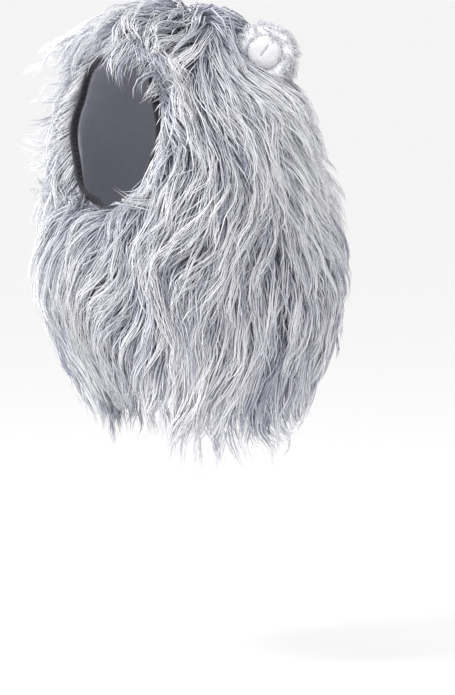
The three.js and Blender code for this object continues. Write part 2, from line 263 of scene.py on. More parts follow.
def curve(*columns):
    """A centripetal Catmull-Rom curve through the sections, which runs on straight past its ends."""
    points = np.stack(columns, -1)
    knots = np.vstack([2 * points[0] - points[1], points, 2 * points[-1] - points[-2]])

    def inside(row):
        first = np.clip(np.floor(row).astype(int), 0, LAST - 1)
        w = (row - first)[..., None]
        a, b, c, d = (knots[first + i] for i in range(4))
        before, between, after = (
            np.sqrt(np.linalg.norm(q - p, axis=-1, keepdims=True)) for p, q in ((a, b), (b, c), (c, d))
        )
        leave = ((b - a) / before - (c - a) / (before + between) + (c - b) / between) * between
        arrive = ((c - b) / between - (d - b) / (between + after) + (d - c) / after) * between
        return b + w * (leave + w * (3 * (c - b) - 2 * leave - arrive + w * (2 * (b - c) + leave + arrive)))

    def at(row):
        near = np.clip(row, 0, LAST)
        ahead = inside(np.minimum(near + SLOPE_STEP, LAST))
        slope = (ahead - inside(np.maximum(near - SLOPE_STEP, 0))) / SLOPE_STEP
        return inside(near) + slope * (row - near)[..., None]

    return at


def unit(v):
    return v / np.maximum(np.linalg.norm(v, axis=-1, keepdims=True), 1e-12)


def dot(a, b):
    return (a * b).sum(-1)


def smooth(x, low, high):
    """A soft step from 0 at low to 1 at high."""
    t = np.clip((x - low) / (high - low), 0, 1)
    return t * t * (3 - 2 * t)


def bell(x, width):
    """1 at 0, about a third at the width and near 0 at twice the width."""
    return np.exp(-((x / width) ** 2))


def nearest(points, spots):
    """How far points are from the nearest of some spots."""
    return np.min([np.linalg.norm(points - spot, axis=-1) for spot in spots], axis=0)


def moved(points, matrix):
    matrix = np.array(matrix)
    return points @ matrix[:3, :3].T + matrix[:3, 3]


def ripple(points, wavelength, seed, count=9):
    """Smooth noise in space, about -1.5 to 1.5."""
    rng = np.random.default_rng(seed)
    waves = unit(rng.normal(size=(count, 3))) * (2 * math.pi / wavelength)
    return np.sin(points @ waves.T + rng.uniform(0, 2 * math.pi, count)).sum(-1) / math.sqrt(count / 2)


# The hood's surface

zeros = np.zeros(LAST + 1)
top_line = curve(zeros, column(1) * HOOD_DEPTH / 2, column(2) * HOOD_DROP)
low_line = curve(zeros, column(3) * HOOD_DEPTH / 2, column(4) * HOOD_DROP)
girth = curve(column(5) * HOOD_WIDTH / 2, column(6) * HOOD_DROP)
pile_depth = curve(column(7) * PILE_HEIGHT, column(8) * PILE_HEIGHT, column(9) * PILE_HEIGHT)


def oval(row, angle):
    """A point of the cloth's smooth outer face: angle 0 on the top line, then round the left side."""
    top, low, size = top_line(row), low_line(row), girth(row)
    point = low + (top - low) * ((1 + np.cos(angle)) / 2)[..., None]
    side = np.sin(angle)
    point[..., 0] = side * size[..., 0]
    point[..., 2] -= side**2 * size[..., 1]
    return point


def surface(row, angle, step=0.02):
    """The point, its directions along the rows and round the angle, and the outward normal."""
    along_row = (oval(row + step, angle) - oval(row - step, angle)) / (2 * step)
    along_angle = (oval(row, angle + step) - oval(row, angle - step)) / (2 * step)
    return oval(row, angle), along_row, along_angle, unit(np.cross(along_angle, along_row))


def surface_step(along_row, along_angle, move):
    """The change of row and angle that a move along the surface makes."""
    rr, ra, aa = dot(along_row, along_row), dot(along_row, along_angle), dot(along_angle, along_angle)
    dr, da = dot(along_row, move), dot(along_angle, move)
    scale = rr * aa - ra * ra
    return (dr * aa - da * ra) / scale, (da * rr - dr * ra) / scale


def pucker(row, angle):
    share = np.clip(1 - np.abs(row - FACE_ROW) / GATHER_ROWS, 0, 1)
    return GATHER_DEPTH * share * np.cos(GATHER_COUNT * angle)


def ear_place(side):
    at = oval(np.array(EAR_ROW), np.array(side * EAR_ANGLE))
    turn = Euler((-EAR_TILT, side * EAR_LEAN, side * EAR_TURN), "XYZ")
    return Matrix.Translation(Vector(at)) @ turn.to_matrix().to_4x4()


SIDES = {"left": 1, "right": -1}
EAR_PLACES = {name: ear_place(side) for name, side in SIDES.items()}


def by_ears(x, y, z):
    """A place in the left ear's own frame, and its mirror image by the right ear."""
    return [np.array(EAR_PLACES[name] @ Vector((side * x, y, z))) for name, side in SIDES.items()]


partings = by_ears(*PARTING_PLACE)
bulges = by_ears(*BULGE_PLACE)
ear_sides = [side * np.array(EAR_PLACES[name])[:3, 0] for name, side in SIDES.items()]


def pile_at(row, angle):
    """The pile's height over the cloth."""
    top, side, low = np.moveaxis(pile_depth(row), -1, 0)
    end = np.where(np.cos(angle) > 0, top, low)
    free = side + (end - side) * np.cos(angle) ** 2
    here = oval(row, angle)
    far = [
        np.linalg.norm(here - parting, axis=-1) + PARTING_CUT * np.clip((here - parting) @ aside, 0, None)
        for parting, aside in zip(partings, ear_sides)
    ]
    parted = PARTING_DEPTH * bell(np.min(far, axis=0), PARTING_REACH)
    return free * (1 - parted + BULGE_RISE * bell(nearest(here, bulges), BULGE_REACH))


def flow(row, angle, along_row, normal):
    """The way the hair lies: it falls, combed forward over the brow and round the face, to the side
    at the crown, back behind it, and towards the chest on the cheeks and throat."""
    top = smooth(normal[..., 2], *TOP_SLOPE)
    over_brow = top * (1 - smooth(row, *BROW_ROWS))
    at_face = 1 - smooth(row, *FACE_ROWS)
    comb = COMB_BACK * (1 - top * (1 - smooth(row, *TOP_ROWS)))
    comb -= COMB_FORWARD * over_brow + COMB_RUFF * at_face * (1 - top)
    way = unit(along_row) * comb[..., None]
    way[..., 2] -= 1
    way -= normal * dot(way, normal)[..., None]
    way = unit(way)
    round_side = np.abs(np.sin(angle))
    cheek = (1 - smooth(row, *CHEEK_ROWS)) * (1 - top)
    throat = smooth(-np.cos(angle), -0.1, 0.5) * (1 - smooth(row, *THROAT_ROWS))
    bend = -SWEEP * np.sin(angle) * np.maximum(CHEEK_SWEEP * cheek, throat) * smooth(round_side, 0, 0.5)
    return way * np.cos(bend)[..., None] + np.cross(normal, way) * np.sin(bend)[..., None]


# Roots and paths of hair

def roots(count, seed):
    """Rows and angles spread evenly over the hood's area."""
    rows = np.linspace(FIRST_ROOT, LAST_ROOT, ROOT_GRID[0])
    angles = np.linspace(-math.pi, math.pi, ROOT_GRID[1])
    row, angle = np.meshgrid(rows, angles, indexing="ij")
    _, along_row, along_angle, _ = surface(row, angle)
    area = np.linalg.norm(np.cross(along_row, along_angle), axis=-1)
    over = np.cumsum(area.sum(1))
    k = np.arange(count) + seed
    u, v = ((k * step + 0.5) % 1 for step in EVEN_STEPS)
    found = np.interp(u, over / over[-1], rows)
    at = np.searchsorted(rows, found).clip(0, len(rows) - 1)
    round_about = np.cumsum(area, axis=1)
    turned = np.array([np.interp(x, round_about[i] / round_about[i, -1], angles) for x, i in zip(v, at)])
    return found, turned


def roots_near(spots, count, seed, share):
    """More roots over the share of the hood's area that lies nearest to some points."""
    row, angle = roots(round(2 * count / share), seed)
    near = np.argsort(nearest(oval(row, angle), spots))[: 2 * count : 2]
    return row[near], angle[near]


def both(*groups):
    return [np.concatenate(each) for each in zip(*groups)]


def sides_of(points, normals):
    """The directions across and outward at each point of some paths."""
    forward = unit(np.gradient(points, axis=1))
    across = unit(np.cross(forward, normals))
    return across, unit(np.cross(across, forward))


def traced(row, angle, length, lift, turn, steps=GUIDE_STEPS):
    """Paths over the pile: points with the directions across and outward at each station."""
    points, normals = [], []
    at_crown = bell(row - CROWN_ROW, 0.8) * smooth(np.cos(angle), 0.84, 0.97)
    steepness = STEEPNESS + CROWN_STEEPNESS * at_crown
    start = ROOT_HEIGHT + CROWN_ROOT_HEIGHT * at_crown
    for i in range(steps + 1):
        here, along_row, along_angle, normal = surface(row, angle)
        way = flow(row, angle, along_row, normal)
        bend = turn + sum(size * ripple(here, wavelength, seed) for size, wavelength, seed in SWAY)
        way = way * np.cos(bend)[:, None] + np.cross(normal, way) * np.sin(bend)[:, None]
        rise = 1 - (1 - i / steps) ** steepness
        height = pile_at(row, angle) * lift * (start + (1 - start) * rise)
        points.append(here + normal * height[:, None])
        normals.append(normal)
        d_row, d_angle = surface_step(along_row, along_angle, way * (length / steps)[:, None])
        row, angle = row + d_row, angle + d_angle
    points, normals = np.stack(points, 1), np.stack(normals, 1)
    rim = oval(np.full(len(row), float(FACE_ROW)), angle)[:, None, 1]
    free = np.clip(rim - points[..., 1], 0, None) * (1 - smooth(-np.cos(angle), 0.1, 0.7))[:, None]
    points[..., 2] -= free**2 / (2 * DROOP_REACH)
    return points, *sides_of(points, normals)


def sampled(values, at):
    """Values of the guides' stations at shares of their paths: at is hairs by places."""
    place = np.clip(at, 0, 1) * (values.shape[1] - 1)
    low = np.minimum(place.astype(int), values.shape[1] - 2)
    rows = np.arange(len(values))[:, None]
    w = (place - low)[..., None]
    return values[rows, low] * (1 - w) + values[rows, low + 1] * w


def pressed(points):
    """Points of hair pressed down in front of the ears, so that their pads show."""
    for place in EAR_PLACES.values():
        local = moved(points, place.inverted())
        x, y, z = np.moveaxis(local, -1, 0)
        near = (1 - smooth(np.abs(x), *PRESS_ASIDE)) * (1 - smooth(-y, *PRESS_FRONT))
        near *= 1 - smooth(y, *PRESS_BACK)
        local[..., 2] -= EAR_PRESS * near * np.maximum(z - EAR_COVERED, 0)
        points = moved(local, place)
    return points


def clear_of_ears(centre):
    """Which hairs stay out of the ears and don't hang before their pads."""
    clear = np.ones(len(centre), bool)
    for place in EAR_PLACES.values():
        x, y, z = np.moveaxis(moved(centre, place.inverted()), -1, 0)
        reach = np.hypot(x, z - EAR_DISC)
        in_ear = (reach < EAR_WIDTH / 2 + EAR_CLEARANCE) & (np.abs(y) < EAR_THICKNESS / 2 + EAR_CLEARANCE)
        in_front = (reach < PAD_RADIUS + PAD_CLEARANCE) & (y < 0) & (y > -PAD_VIEW)
        clear &= ~((in_ear | in_front) & (z > EAR_COVERED + FOOT_CLEARANCE)).any(1)
    return clear


# Meshes

def mesh_object(name, points, faces, uv=None):
    """A mesh object from arrays of points and of triangles or quads, with uv for each point."""
    me = bpy.data.meshes.new(name)
    corners = faces.shape[1]
    me.vertices.add(len(points))
    me.vertices.foreach_set("co", points.astype(np.float32).ravel())
    me.loops.add(faces.size)
    me.loops.foreach_set("vertex_index", faces.astype(np.int32).ravel())
    me.polygons.add(len(faces))
    me.polygons.foreach_set("loop_start", np.arange(0, faces.size, corners, dtype=np.int32))
    me.update(calc_edges=True)
    me.polygons.foreach_set("use_smooth", np.ones(len(faces), bool))
    if uv is not None:
        layer = me.uv_layers.new(name="OFBake")
        layer.uv.foreach_set("vector", uv[faces.ravel()].astype(np.float32).ravel())
    made = bpy.data.objects.new(name, me)
    bpy.context.scene.collection.objects.link(made)
    return made


def ring_quads(rings, columns, closed=True):
    """Quads from each ring of points to the next, and from the last to the first if closed."""
    r, c = np.meshgrid(np.arange(rings if closed else rings - 1), np.arange(columns), indexing="ij")
    after, beside = (r + 1) % rings, (c + 1) % columns
    corners = [r * columns + c, after * columns + c, after * columns + beside, r * columns + beside]
    return np.stack(corners, -1).reshape(-1, 4)


def hair_object(name, centre, across, out, radius, tint):
    """Closed three-sided hairs as one mesh: a ring at each point of the path but the last, the tip.
    The map's u is the hair's tint and v runs from root to tip."""
    count, stations = centre.shape[:2]
    rings = stations - 1
    turn = 2 * math.pi * np.arange(3) / 3
    corner = across[:, :rings, None] * np.cos(turn)[:, None] + out[:, :rings, None] * np.sin(turn)[:, None]
    body = centre[:, :rings, None] + corner * radius[:, :rings, None, None]
    points = np.concatenate([body.reshape(count, rings * 3, 3), centre[:, rings:]], 1)
    per = rings * 3 + 1
    faces = [(2, 1, 0)]
    for r in range(rings):
        for i in range(3):
            a, b = 3 * r + i, 3 * r + (i + 1) % 3
            if r + 1 < rings:
                faces += [(a, b, b + 3), (a, b + 3, a + 3)]
            else:
                faces.append((a, b, per - 1))
    faces = np.array(faces)[None] + (np.arange(count) * per)[:, None, None]
    u = tint[:, None] + np.append(np.tile([-MAP_WIDTH, 0, MAP_WIDTH], rings), 0)
    v = MAP_EDGE + (1 - 2 * MAP_EDGE) * np.append(np.repeat(np.arange(rings) / rings, 3), 1)
    uv = np.stack([u, np.broadcast_to(v, (count, per))], -1)
    return mesh_object(name, points.reshape(-1, 3), faces.reshape(-1, 3), uv.reshape(-1, 2))


def dress(made, slot, *nodes, material):
    made.data.materials.clear()
    made.data.materials.append(material)
    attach(made, "root")
    if nodes:
        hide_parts(*nodes)
    return made


# Materials

def new_material(name, roughness, sheen=0.0, specular=0.5):
    material = bpy.data.materials.new(name)
    material.use_nodes = True
    shader = material.node_tree.nodes["Principled BSDF"]
    shader.inputs["Roughness"].default_value = roughness
    shader.inputs["Sheen Weight"].default_value = sheen
    shader.inputs["Specular IOR Level"].default_value = specular
    return material, material.node_tree, shader


def ramp(tree, source, stops):
    node = tree.nodes.new("ShaderNodeValToRGB")
    while len(node.color_ramp.elements) < len(stops):
        node.color_ramp.elements.new(0.5)
    for element, (place, colour) in zip(node.color_ramp.elements, stops):
        element.position = place
        element.color = (*colour, 1)
    tree.links.new(source, node.inputs["Fac"])
    return node.outputs["Color"]


def multiplied(tree, a, b):
    node = tree.nodes.new("ShaderNodeMix")
    node.data_type = "RGBA"
    node.blend_type = "MULTIPLY"
    node.inputs["Factor"].default_value = 1
    tree.links.new(a, node.inputs["A"])
    tree.links.new(b, node.inputs["B"])
    return node.outputs["Result"]


def bumped(tree, shader, height, strength, distance):
    node = tree.nodes.new("ShaderNodeBump")
    node.inputs["Strength"].default_value = strength
    node.inputs["Distance"].default_value = distance
    tree.links.new(height, node.inputs["Height"])
    tree.links.new(node.outputs["Normal"], shader.inputs["Normal"])


def hair_material(name, along):
    """Colours along a hair, from root to tip, times a tint that differs from hair to hair. On the mane both
    carry painted shade and light.
    """
    material, tree, shader = new_material(name, roughness=0.5, sheen=0.25, specular=0.4)
    place = tree.nodes.new("ShaderNodeUVMap")
    place.uv_map = "OFBake"
    parts = tree.nodes.new("ShaderNodeSeparateXYZ")
    tree.links.new(place.outputs["UV"], parts.inputs["Vector"])
    colour = ramp(tree, parts.outputs["Y"], along)
    tint = ramp(tree, parts.outputs["X"], HAIR_TINTS)
    tree.links.new(multiplied(tree, colour, tint), shader.inputs["Base Color"])
    return material


def wool_material(name, low, high, scale, strength, distance, stretch=(1, 1, 1)):
    """Matte cloth or wool with a fine grain of two colours."""
    material, tree, shader = new_material(name, roughness=0.9, sheen=0.3, specular=0.2)
    place = tree.nodes.new("ShaderNodeTexCoord")
    mapping = tree.nodes.new("ShaderNodeMapping")
    mapping.inputs["Scale"].default_value = stretch
    tree.links.new(place.outputs["Object"], mapping.inputs["Vector"])
    grain = tree.nodes.new("ShaderNodeTexNoise")
    grain.inputs["Scale"].default_value = scale
    grain.inputs["Detail"].default_value = 4
    tree.links.new(mapping.outputs["Vector"], grain.inputs["Vector"])
    colour = ramp(tree, grain.outputs["Fac"], [(0.3, low), (0.7, high)])
    tree.links.new(colour, shader.inputs["Base Color"])
    bumped(tree, shader, grain.outputs["Fac"], strength, distance)
    return material


def knit_material(name, low, high, pitch, depth):
    """A knitted cloth: fine rows of stitches as two crossed waves."""
    wave_period = 1 / 3.14  # of the texture at scale 1, in metres
    material, tree, shader = new_material(name, roughness=0.92, sheen=0.2, specular=0.2)
    place = tree.nodes.new("ShaderNodeTexCoord")
    stitches = tree.nodes.new("ShaderNodeMath")
    stitches.operation = "MULTIPLY"
    for side, direction in enumerate(("X", "Z")):
        wave = tree.nodes.new("ShaderNodeTexWave")
        wave.bands_direction = direction
        wave.inputs["Scale"].default_value = wave_period / pitch
        wave.inputs["Distortion"].default_value = 0.6
        tree.links.new(place.outputs["Object"], wave.inputs["Vector"])
        tree.links.new(wave.outputs["Fac"], stitches.inputs[side])
    colour = ramp(tree, stitches.outputs[0], [(0.1, low), (0.8, high)])
    tree.links.new(colour, shader.inputs["Base Color"])
    bumped(tree, shader, stitches.outputs[0], 0.5, depth)
    return material


# The tint's colours: the mane's painted shade lands on the lilac grey low end, its painted light on the
# white top.
HAIR_TINTS = [
    (0.0, (0.42, 0.42, 0.52)),
    (0.3, (0.84, 0.84, 0.89)),
    (0.65, (0.96, 0.96, 0.97)),
    (1.0, (1.0, 1.0, 1.0)),
]
# The mane's hair darkens to slate towards its roots: painted shade of the pile's depth.
MANE_ALONG_WITH_ROOT_SHADE = [
    (0.0, (0.2, 0.2, 0.28)),
    (0.22, (0.52, 0.52, 0.6)),
    (0.5, (0.83, 0.835, 0.865)),
    (1.0, (0.955, 0.96, 0.965)),
]
EAR_ALONG = [
    (0.0, (0.82, 0.82, 0.86)),
    (0.4, (0.82, 0.82, 0.85)),
    (1.0, (0.8, 0.8, 0.82)),
]
fur = hair_material("silver_hair", MANE_ALONG_WITH_ROOT_SHADE)
ear_fur = hair_material("ear_hair", EAR_ALONG)
# The undercoat's dark slate is painted shade of the deep pile between the hairs.
under_wool_painted_shade = wool_material(
    "under_wool_painted_shade", (0.2, 0.2, 0.27), (0.46, 0.46, 0.54),
    scale=260, strength=0.7, distance=2 * MM, stretch=(1, 1, 0.15),
)
ear_wool = wool_material(
    "ear_wool", (0.8, 0.8, 0.85), (0.87, 0.87, 0.9), scale=420, strength=0.4, distance=1 * MM
)
plush = wool_material(
    "white_plush", (0.68, 0.68, 0.71), (0.77, 0.77, 0.79), scale=520, strength=0.5, distance=1 * MM
)
backing = wool_material(
    "knit_backing", (0.29, 0.29, 0.345), (0.38, 0.38, 0.44), scale=700, strength=0.4, distance=0.5 * MM
)
# Near black: partly the elastic's own colour, partly painted shade along the face opening's edge.
elastic = knit_material(
    "dark_elastic_and_painted_shade", (0.02, 0.02, 0.028), (0.06, 0.06, 0.075), pitch=1.5 * MM, depth=0.6 * MM
)


# Hair of the mane

def mane_guides(rng):
    """Where the mane's clumps root, how long and how high in the pile they are, and their paths."""
    row, angle = both(roots(GUIDES, 1), roots_near(partings, PARTING_GUIDES, 2, PARTING_SHARE))
    root = oval(row, angle)
    share = np.interp(row, *zip(*LENGTH_BY_ROW))
    trim = np.where(np.cos(angle) > 0, BACK_TRIM, CHEST_TRIM) * np.cos(angle) ** 2
    trim = (trim + RIGHT_TRIM * np.clip(-np.sin(angle), 0, 1)) * smooth(row, *TRIMMED_ROWS)
    length = LOCK_LENGTH * share * (rng.uniform(*LENGTH_SPREAD, len(row)) - trim)
    on_left = np.column_stack([np.abs(root[:, 0]), root[:, 1:]])
    in_valley = bell(np.linalg.norm(on_left - VALLEY, axis=-1), VALLEY_REACH) * (root[:, 1] < 0)
    layer = rng.uniform(0, 1, len(row)) * (1 - VALLEY_DEPTH * in_valley)
    tufted = smooth(layer, *TUFTED_LAYERS) * smooth(row, *TUFTS_START) * (1 - smooth(row, *TUFTS_END))
    length = length * (1 - TUFT_TRIM * tufted)
    lift = LAYER_LIFT[0] + LAYER_LIFT[1] * layer
    paths = traced(row, angle, length, lift, rng.normal(0, TURN_SPREAD, len(row)))
    return SimpleNamespace(
        row=row, angle=angle, root=root, length=length, layer=layer, in_valley=in_valley, paths=paths
    )


def clumped(rng, guides):
    """The hairs of each guide's clump: their paths and radii, and which guide each follows. A clump's
    hairs draw together and curl alike towards their tips, less so where they are loose."""
    row, groups = guides.row, len(guides.row)
    pick = np.repeat(np.arange(groups), HAIRS_PER_GUIDE)
    count = len(pick)
    start = rng.uniform(*HAIR_START, count)
    end = rng.uniform(*HAIR_END, count)
    t = np.linspace(0, 1, HAIR_RINGS + 1)[None]
    at = start[:, None] + (end - start)[:, None] * t
    centre, side, up = (sampled(values[pick], at) for values in guides.paths)
    spread = CLUMP_RADIUS * np.sqrt(rng.uniform(0, 1, count)) * rng.uniform(*CLUMP_SPREAD, groups)[pick]
    heading = rng.uniform(0, 2 * math.pi, count)
    low = smooth(row, *LOW_ROWS)
    on_top = bell(row - CROWN_ROW, 1.2) * smooth(np.cos(guides.angle), 0.7, 0.95)
    loose = rng.uniform(0, 1, count) ** 3 * (1 - TIDIED * np.maximum(low, on_top)[pick])
    gather = 1 - (GATHERED[0] - GATHERED[1] * loose)[:, None] * t**0.9
    phase = rng.uniform(0, 2 * math.pi, groups)[pick] + rng.normal(0, PHASE_SPREAD, count)
    waves = np.minimum(guides.length / WAVE_LENGTH * rng.uniform(*WAVE_PACE, groups), MOST_WAVES)
    curl = 2 * math.pi * waves[pick, None] * at + phase[:, None]
    at_edge = 1 - smooth(row, *FACE_ROWS)
    depth = WAVE_DEPTH * (1 + WAVES_AT_FACE * at_edge) * rng.uniform(*WAVE_SPREAD, groups)
    depth = depth * (1 + WAVES_ON_CROWN * on_top)
    wave = depth[pick, None] * t
    stray = (rng.normal(0, STRAY, count) * loose)[:, None] * t**1.5
    aside = (spread * np.cos(heading))[:, None] * gather + wave * np.sin(curl) + stray
    above = (spread * np.sin(heading))[:, None] * gather * CLUMP_FLATNESS
    above = above + WAVE_FLATNESS * wave * np.cos(curl)
    centre = centre + side * aside[..., None] + up * above[..., None]
    thinned = TIP_THINNING - HEM_THICKENING * low[pick, None]
    radius = HAIR_RADIUS * rng.uniform(*HAIR_THICKNESS, count)[:, None] * (1 - thinned * t**2)
    return pick, centre, side, up, radius


def mane_painted_light_and_tints(rng, guides):
    """How pale each clump is. Painted shade darkens it the deeper it lies, by the cheeks, at the hem and in
    the valleys below the cheeks; painted light makes it paler on the chest and on the sides. Patches,
    a spread and a few clumps that are dark anywhere are the hair's own tone."""
    row, angle, groups = guides.row, guides.angle, len(guides.row)
    round_side = np.abs(np.sin(angle))
    on_chest = np.clip(-np.cos(angle), 0, 1) * smooth(row, *CHEST_ROWS)
    by_cheek = bell(row - 2.3, 0.8) * smooth(round_side, 0.5, 0.95) * (row < 4)
    at_side = smooth(round_side, 0.4, 0.9) * smooth(row, *SIDE_START) * (1 - smooth(row, *SIDE_END))
    strength, wavelength, seed = PATCHES
    # Painted shade for deep clumps, the hem, the cheeks and the valleys, painted light for the chest and
    # sides.
    tint = BASE_TINT + LAYER_PAINTED_SHADE * guides.layer + strength * ripple(guides.root, wavelength, seed)
    tint += rng.normal(0, CLUMP_TINT_SPREAD, groups)
    tint += DARK_CLUMP_TINT * (rng.uniform(0, 1, groups) < DARK_CLUMPS)
    tint += CHEST_PAINTED_LIGHT * on_chest + SIDE_PAINTED_LIGHT * at_side + HEM_PAINTED_SHADE * smooth(row, *LOW_ROWS)
    return tint + CHEEK_PAINTED_SHADE * by_cheek + VALLEY_PAINTED_SHADE * guides.in_valley


def mane_regions(row, angle):
    """The hair's pieces by name, and which guides belong to each."""
    on_back, on_chest = np.cos(angle) > 0.45, np.cos(angle) < -0.45
    ruff = row < 2.6
    crown = on_back & ~ruff & (row < 5.2)
    back = on_back & ~ruff & ~crown
    chest = on_chest & ~ruff
    aside = ~(ruff | on_back | on_chest)
    left = np.sin(angle) > 0
    low = row > 5.6
    return {
        "ruff": ruff,
        "crown": crown,
        "back": back,
        "chest": chest,
        "left": aside & left & ~low,
        "right": aside & ~left & ~low,
        "left_low": aside & left & low,
        "right_low": aside & ~left & low,
    }


def mane_hair():
    rng = np.random.default_rng(5)
    guides = mane_guides(rng)
    pick, centre, side, up, radius = clumped(rng, guides)
    tint = mane_painted_light_and_tints(rng, guides)[pick] + rng.normal(0, HAIR_TINT_SPREAD, len(pick))
    tint = np.clip(tint, *TINT_RANGE)
    centre = pressed(centre)
    keep = clear_of_ears(centre)
    for name, inside in mane_regions(guides.row, guides.angle).items():
        mine = keep & inside[pick]
        hair = hair_object(f"hair_{name}", centre[mine], side[mine], up[mine], radius[mine], tint[mine])
        dress(hair, "fur", "mane_pile", material=fur)


def short_hair():
    """Short hair close to the cloth, which fills the depth between the long hairs' roots."""
    rng = np.random.default_rng(6)
    crown = oval(np.array(CROWN_ROW), np.array(0.0))
    more = roots_near([crown, *partings], CROWN_HAIRS, 4, CROWN_SHARE)
    row, angle = both(roots(SHORT_HAIRS, 3), more)
    count = len(row)
    length = SHORT_LENGTH * rng.uniform(*SHORT_LENGTHS, count)
    lift = rng.uniform(*SHORT_LIFTS, count)
    turn = rng.normal(0, SHORT_TURN_SPREAD, count)
    points, across, out = traced(row, angle, length, lift, turn, SHORT_STEPS)
    t = np.linspace(0, 1, SHORT_STEPS + 1)
    radius = SHORT_THICKNESS * HAIR_RADIUS * rng.uniform(0.7, 1.3, count)[:, None] * (1 - 0.6 * t**2)
    tint = np.clip(rng.normal(0.3, 0.16, count), *TINT_RANGE)
    points = pressed(points)
    keep = clear_of_ears(points)
    hair = hair_object("hair_short", *(each[keep] for each in (points, across, out, radius, tint)))
    dress(hair, "fur", "mane_pile", material=fur)


def rim_hair():
    """Soft hair that stands round the face opening and hides the fur's edge behind the elastic."""
    rng = np.random.default_rng(7)
    row = FACE_ROW + rng.uniform(0, RIM_WIDTH, RIM_HAIRS)
    angle = math.pi * (2 * (np.arange(RIM_HAIRS) + rng.uniform(0, 1, RIM_HAIRS)) / RIM_HAIRS - 1)
    here, along_row, _, normal = surface(row, angle)
    tuft = ripple(here, 26 * MM, 14)[:, None]
    way = 0.75 * normal - 0.3 * unit(along_row) + (0.5 + 0.3 * tuft) * flow(row, angle, along_row, normal)
    way = unit(way + rng.normal(0, 0.13, here.shape))
    fall = 0.45 * np.array([0, 0, -1]) + 0.35 * np.cross(normal, way) * ripple(here, 40 * MM, 15)[:, None]
    length = RIM_LENGTH * rng.uniform(0.6, 1.2, RIM_HAIRS)[:, None, None]
    t = np.linspace(0, 1, RIM_STEPS + 1)[None, :, None]
    points = (here + 1 * MM * normal)[:, None] + length * (way[:, None] * t + fall[:, None] * t**2)
    across, out = sides_of(points, normal[:, None])
    radius = HAIR_RADIUS * rng.uniform(0.6, 1.1, RIM_HAIRS)[:, None] * (1 - 0.7 * t[..., 0] ** 2)
    tint = np.clip(0.6 + 0.2 * tuft[:, 0] + rng.normal(0, 0.07, RIM_HAIRS), *TINT_RANGE)
    dress(hair_object("hair_rim", points, across, out, radius, tint), "fur", "mane_pile", material=fur)


# Cloth, undercoat and elastic

def wall_object(name, rows, columns, outer, inner):
    """A closed wall round the hood between two heights off the cloth, each a function of row, angle."""
    angle = 2 * math.pi * np.arange(columns) / columns
    grid_row, grid_angle = np.meshgrid(rows, angle, indexing="ij")
    here, _, _, normal = surface(grid_row, grid_angle)
    outside, inside = (here + normal * height(grid_row, grid_angle)[..., None] for height in (outer, inner))
    points = np.concatenate([outside, inside[::-1]]).reshape(-1, 3)
    inside_out = ring_quads(2 * len(rows), columns)
    return mesh_object(name, points, np.roll(inside_out[:, ::-1], 1, axis=1))


def under_layer():
    """The dense wool under the loose hair, dark slate as painted shade of the pile's depth."""
    def outer(row, angle):
        here = oval(row, angle)
        ends = smooth(row, FACE_ROW, FACE_ROW + 1.2) * (1 - smooth(row, HEM_ROW - 0.9, HEM_ROW))
        tufts = 1 + 0.12 * ripple(here, 30 * MM, 21) + 0.1 * ripple(here * [1, 1, 0.4], 12 * MM, 22)
        return pucker(row, angle) + UNDER_LEAST + UNDER_HEIGHT * pile_at(row, angle) * ends * tufts

    def inner(row, angle):
        return pucker(row, angle) + SEAT_GAP

    rows = np.linspace(FACE_ROW + 0.03, HEM_ROW - 0.05, 50)
    made = wall_object("hair_under", rows, 120, outer, inner)
    dress(made, "fur", "mane_pile", material=under_wool_painted_shade)


def hood_backing():
    """The knitted cloth, with small gathers between the large ones at its edge."""
    fine = 4 * GATHER_COUNT

    def outer(row, angle):
        small = FINE_GATHER_DEPTH * np.clip(1 - (row - FACE_ROW) / 0.6, 0, 1) * np.cos(fine * angle)
        wave = CLOTH_WAVE_DEPTH * (ripple(oval(row, angle), 80 * MM, 31) - 1)
        return pucker(row, angle) + small + wave

    def inner(row, angle):
        return outer(row, angle) - CLOTH_THICKNESS

    made = wall_object("hood_backing", np.linspace(FACE_ROW, HEM_ROW, 45), 160, outer, inner)
    return dress(made, "cloth", "hood_cloth", material=backing)


def rounded(value, half):
    """A cosine or sine bent so that the two of them draw an oval with fuller corners."""
    return half * np.sign(value) * abs(value) ** 0.6


def elastic_band():
    """The gathered elastic: rings across its oval section, puckered as the cloth's edge is."""
    columns, section = 320, 14
    angle = 2 * math.pi * np.arange(columns) / columns
    row = np.full(columns, float(FACE_ROW))
    here, _, along_angle, normal = surface(row, angle)
    onwards = unit(np.cross(normal, along_angle))
    ribs = RIB_DEPTH * np.cos(RIBS_PER_GATHER * GATHER_COUNT * angle)
    rings = []
    for turn in 2 * math.pi * np.arange(section) / section:
        off = pucker(row, angle) - CLOTH_THICKNESS / 2 + rounded(math.sin(turn), BAND_THICKNESS / 2 + ribs)
        ahead = -BAND_GAP - BAND_WIDTH / 2 + rounded(math.cos(turn), BAND_WIDTH / 2)
        rings.append(here + normal * off[:, None] + onwards * ahead)
    made = mesh_object("elastic_edge", np.concatenate(rings), ring_quads(section, columns))
    return dress(made, "band", "face_band", material=elastic)


# Ears

def soft_copy(node, name, voxel):
    """A CAD node's solid, remeshed and smoothed into a padded form."""
    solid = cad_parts[node]
    made = bpy.data.objects.new(name, solid.data.copy())
    made.matrix_world = solid.matrix_world
    bpy.context.scene.collection.objects.link(made)
    remesh = made.modifiers.new("remesh", "REMESH")
    remesh.mode = "VOXEL"
    remesh.voxel_size = voxel
    soften = made.modifiers.new("soften", "SMOOTH")
    soften.factor = 0.5
    soften.iterations = 6
    graph = bpy.context.evaluated_depsgraph_get()
    mesh = bpy.data.meshes.new_from_object(made.evaluated_get(graph))
    made.modifiers.clear()
    made.data = mesh
    mesh.polygons.foreach_set("use_smooth", np.ones(len(mesh.polygons), bool))
    return made


